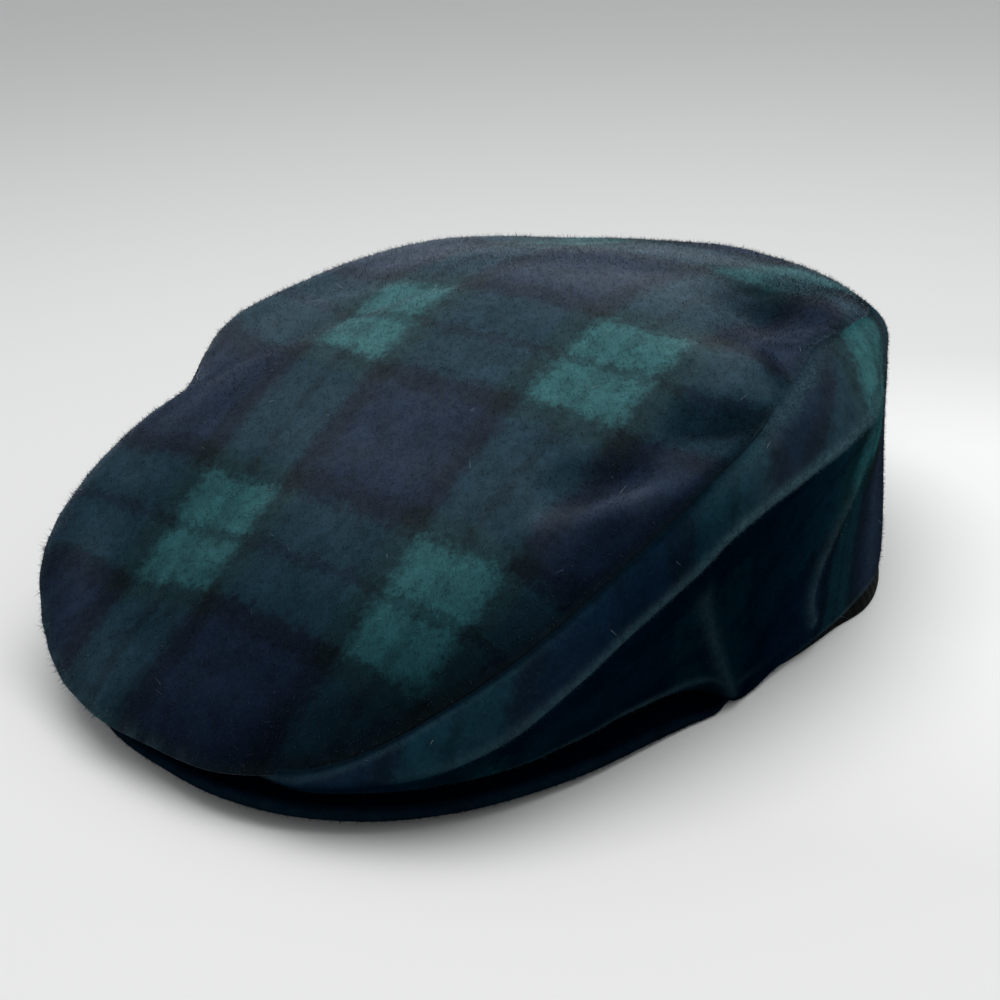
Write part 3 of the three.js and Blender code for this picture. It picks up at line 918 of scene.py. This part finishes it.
def sidePanel(name, node, sign):
    look = sideLook
    lines = lambda stretches: np.unique(np.concatenate([np.linspace(*s) for s in stretches]))
    heading, share = lines(look["columns"]), lines(look["rows"])
    outer, normals, wall, reach, foldAt, fuzz = panelShape(heading, share, sign)
    n, m = outer.shape[:2]
    innerRows = np.unique(np.r_[np.arange(2, m - 1, 3), m - 1])
    sheet = closedLoop(outer, normals, wall, innerRows)
    weave, run = panelCheck(heading, reach)

    def loop(g):
        last, first = np.repeat(g[:, -1:], edgeSteps, 1), np.repeat(g[:, :1], edgeSteps, 1)
        return np.concatenate([g, last, g[:, innerRows][:, ::-1], first], 1)

    # bake rows: outer face, edge, inner face, seam edge
    turn = 0.02 * np.arange(1, edgeSteps + 1) / edgeSteps
    ramp = [share * 0.72, 0.72 + turn, 0.76 + 0.2 * (1 - share[innerRows][::-1]), 0.962 + turn]
    ramp = np.concatenate(ramp)[None, :] + 0.005
    bake = np.stack(np.broadcast_arrays(0.01 + 0.98 * (run / run[-1])[:, None], ramp), -1)
    # painted shade: paler above the fold, darker below it and in the seam's groove
    at, above, below = zip(*look["lie"])
    h = heading[:, None]
    above, below = np.interp(h, at, above), np.interp(h, at, below)
    paintedDark = (1 - 0.7 * ease(h, 62, 82)) * hump(reach, seamLook["grooveShade"])
    pale = (below + (above - below) * ease(foldAt - reach, -1.6, 1.6)) * (1 - paintedDark)
    lie = np.stack([pale, fuzz], -1)
    piece = meshPiece(name, sheet, cappedFaces(n, sheet.shape[1]), loop(weave), bake, loop(lie), sideWool)
    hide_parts(node)
    napFibres(name + "_nap", outer, weave, lie, look["nap"], sideNap)


# The stiff peak, covered in the same cloth
peakLook = {
    "rows": [  # heading, rim r, lower rim z, top z at the sweatband
        (0, 155.0, 5.0, 22.0),
        (10, 155.4, 4.7, 21.5),
        (20, 151.5, 4.0, 19.8),
        (30, 140.5, 3.1, 16.2),
        (40, 125.0, 2.0, 12.4),
        (50, 110.5, 0.9, 9.0),
        (58, 102.4, 0.3, 6.4),
        (64, 99.0, 0.2, 4.4),
        (69, 94.4, 0.2, 3.4),
    ],
    "end": 68.5,
    "columns": 260,
    "topRows": 40,
    "rimRows": 13,
    "thick": (4.0, 2.2),  # at the front and at the ends
    "thinning": (52, 65),  # headings between which it gets thinner
    "tuck": (5.0, -16, 12),  # how far the rim lies in on the right, heading, spread
    "unevenness": 0.12,
    "waves": (10, 14, 40),
    "repeat": 75.6,
    "crossing": (9, -118),
    "lie": (0.06, 0.12),  # painted shade: how pale the top is, and the rim and the underside
    "rimFuzzAndHighlight": 0.05,
    "napRows": (14, 4),  # rows beside the rim that have fibres, above and below
    "nap": {
        "count": 36000, "long": (0.4, 1.4), "rise": (0.10, 1.2), "pale": 1.25,
        "fuzzy": 6.0, "stray": 0.0, "tinted": 1.0,
    },
}


def peakShell():
    look = peakLook
    heading = np.linspace(-look["end"], look["end"], look["columns"])
    _, rimR, rimZ, rootZ = readRows(look["rows"], heading)
    root = section(heading)["bandR"] + capForm["seamGap"]
    rimR = rimR - hump(heading, look["tuck"])
    front, end = look["thick"]
    thick = front + (end - front) * ease(np.abs(heading), *look["thinning"])
    half = thick / 2
    share = np.linspace(0, 1, look["topRows"])
    r = root[:, None] + np.maximum(rimR - half - root, 0.4)[:, None] * share
    z = rootZ[:, None] + (rimZ + thick - rootZ)[:, None] * share
    h, half = heading[:, None], half[:, None]
    top = place(h, r, z, 0)
    turn = np.linspace(0, math.pi, look["rimRows"] + 2)[1:-1]
    rim = place(h, r[:, -1:] + half * np.sin(turn), rimZ[:, None] + half + half * np.cos(turn), 0)
    below = top - thick[:, None, None] * upwards
    sheet = np.concatenate([top, rim, below[:, ::-1]], 1)
    bend = look["unevenness"] * ripple(sheet, look["waves"], 21) * np.clip((sheet[..., 2] - 1.2) / 3, 0, 1)
    sheet = sheet + bend[..., None] * upwards
    n, rows = sheet.shape[:2]
    cloth = (sheet[..., :2] - look["crossing"]) / look["repeat"] + 0.5
    ends = (np.linspace(0.01, 0.99, n)[:, None], np.linspace(0.01, 0.99, rows)[None, :])
    bake = np.stack(np.broadcast_arrays(*ends), -1)
    rimFrom, rimTo = len(share), len(share) + len(turn)
    # raised nap with a painted highlight on the rim; painted shade all over
    fuzz = np.zeros((n, rows))
    fuzz[:, rimFrom:rimTo] = look["rimFuzzAndHighlight"] * np.sin(turn) ** 2
    pale = np.full((n, rows), look["lie"][1])
    pale[:, :rimFrom] = look["lie"][0]
    lie = np.stack([pale, fuzz], -1)
    piece = meshPiece("peak_shell", sheet, cappedFaces(n, rows), cloth, bake, lie, peakWool)
    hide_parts("peak")
    edge = slice(rimFrom - look["napRows"][0], rimTo + look["napRows"][1])
    napFibres("peak_nap", sheet[:, edge], cloth[:, edge], lie[:, edge], look["nap"], sideNap)


# The black band inside the head opening
bandLook = {
    "tall": 24.0,
    "thick": 1.4,
    "columns": 300,
    "rows": 24,
    "colour": (0.0006, 0.0007, 0.0009),
    "light": (0.0018, 0.002, 0.0022),
    "ribs": 1500.0,
    "flare": (1.6, 113, 18),  # how far the lower edge rolls out at the back corner, heading, spread
    "flareTop": (1.5, 6.5),
}


def tape():
    look = bandLook
    material, shader, w = newMaterial("blackTape")
    along, up = w.make("UVMap", {"uv_map": "cloth"}).split()
    ribs = (along * look["ribs"]).math("SINE") * 0.5 + 0.5
    weave = (up * (look["ribs"] * 1.7)).math("SINE") * 0.5 + 0.5
    worn = w.make("TexCoord", out="Object").noise(300.0, 4.0)
    (ribs * 0.5 + worn * 0.5).tint(look["colour"], look["light"]).into(shader, "Base Color")
    (0.5 + worn * 0.3).into(shader, "Roughness")
    height = ribs + weave * 0.4 + worn * 0.3
    w.make("Bump", None, {"Strength": 0.5, "Distance": 0.3 * mm, "Height": height}).into(shader, "Normal")
    shader.inputs["Specular IOR Level"].default_value = 0.03
    return material


def bandTape():
    look = bandLook
    heading = np.linspace(-180, 180, look["columns"], endpoint=False)
    s, h = section(heading), heading[:, None]
    low = np.maximum(s["bandZ"], 0)[:, None]
    half = look["thick"] / 2
    up = np.linspace(half, look["tall"] - half, look["rows"])
    turn = np.linspace(0, math.pi, edgeSteps + 2)[1:-1]
    middle = s["bandR"][:, None] - half
    outside = place(h, middle + half, low + up, 0)
    above = place(h, middle + half * np.cos(turn), low + look["tall"] - half + half * np.sin(turn), 0)
    inside = place(h, middle - half, low + up[::-1], 0)
    under = place(h, middle - half * np.cos(turn), low + half - half * np.sin(turn), 0)
    sheet = np.concatenate([outside, above, inside, under], 1)
    bulge = hump(h, look["flare"]) * (1 - ease(sheet[..., 2], *look["flareTop"]))
    a = np.radians(h)
    sheet = sheet + bulge[..., None] * np.stack([np.sin(a), -np.cos(a), 0 * a], -1)
    n, rows = sheet.shape[:2]
    steps = np.diff(outside[:, 0], axis=0, append=outside[:1, 0])
    around = np.cumsum(np.linalg.norm(steps, axis=1)) * mm
    cloth = np.stack([np.broadcast_to(around[:, None], (n, rows)), sheet[..., 2] * mm], -1)
    piece = meshPiece("band", sheet, loopFaces(n, rows, True), cloth, None, None, tape())
    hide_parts("sweatband")


crownTop()
sidePanel("left_panel", "side_left", 1)
sidePanel("right_panel", "side_right", -1)
peakShell()
bandTape()

# Pale floor, soft light from above, camera at the photo's angle
stageLook = {
    "floor": [(0.0, 0.92), (0.09, 0.92), (0.20, 0.76), (0.60, 0.74)],  # painted pool of light: paleness by distance in metres
    "litPoolCentre": (0.09, 0.12),
    "warm": 0.982,  # blue, as a share of red and green
    "world": (0.86, 0.88, 0.90),
    "worldStrength": 0.60,
    "key": {"at": (0.05, -0.03, 0.90), "aim": (0, 0, 0.04), "size": 0.9, "watts": 6.3},
    "azimuth": 41.6,
    "elevation": 23.2,
    "distance": 486.2,
    "target": (5.5, -8.75, 34.0),
    "roll": -2.0,
    "lens": 61.06,
    "sensor": 36.0,
}


def paleFloor():
    look = stageLook
    material, shader, w = newMaterial("paleFloor")
    spot = w.make("TexCoord", out="Object")
    # a painted pool of light: palest near the cap, darker further away
    x, y = (axis - at for axis, at in zip(spot.split(), look["litPoolCentre"]))
    away = (x**2 + y**2).math("SQRT") + spot.noise(6.0, 3.0) * 0.03
    stops = [(at, (pale, pale, pale * look["warm"])) for at, pale in look["floor"]]
    w.make("ValToRGB", {"stops": stops}, {0: away}).into(shader, "Base Color")
    shader.inputs["Roughness"].default_value = 0.7
    shader.inputs["Specular IOR Level"].default_value = 0.1
    mesh = bpy.data.meshes.new("floor")
    mesh.from_pydata([(-5, -4, 0), (5, -4, 0), (5, 6, 0), (-5, 6, 0)], [], [(0, 1, 2, 3)])
    mesh.materials.append(material)
    addObject("floor", mesh)


def softLight():
    look = stageLook
    world = bpy.data.worlds.new("softRoom")
    world.use_nodes = True
    sky = world.node_tree.nodes["Background"]
    sky.inputs["Color"].default_value = (*look["world"], 1)
    sky.inputs["Strength"].default_value = look["worldStrength"]
    scene.world = world
    key = look["key"]
    lamp = bpy.data.lights.new("softbox", "AREA")
    lamp.shape = "SQUARE"
    lamp.size = key["size"]
    lamp.energy = key["watts"]
    box = addObject("softbox", lamp)
    box.location = key["at"]
    box.rotation_euler = (Vector(key["aim"]) - Vector(key["at"])).to_track_quat("-Z", "Y").to_euler()


def photoCamera():
    look = stageLook
    a, e, s = (math.radians(look[k]) for k in ("azimuth", "elevation", "roll"))
    back = np.array([math.sin(a) * math.cos(e), -math.cos(a) * math.cos(e), math.sin(e)])
    right = np.array([math.cos(a), math.sin(a), 0.0])
    up = np.cross(back, right)
    right, up = math.cos(s) * right + math.sin(s) * up, math.cos(s) * up - math.sin(s) * right
    at = (np.array(look["target"]) + look["distance"] * back) * mm
    lens = bpy.data.cameras.new("photoCamera")
    lens.lens, lens.sensor_width = look["lens"], look["sensor"]
    lens.clip_start, lens.clip_end = 0.02, 30.0
    camera = addObject("photoCamera", lens)
    camera.matrix_world = Matrix([*np.stack([right, up, back, at], 1).tolist(), [0, 0, 0, 1]])
    scene.camera = camera
    scene.view_settings.view_transform = "Standard"
    scene.view_settings.look = "None"


paleFloor()
softLight()
photoCamera()
print("stage, light and camera set")
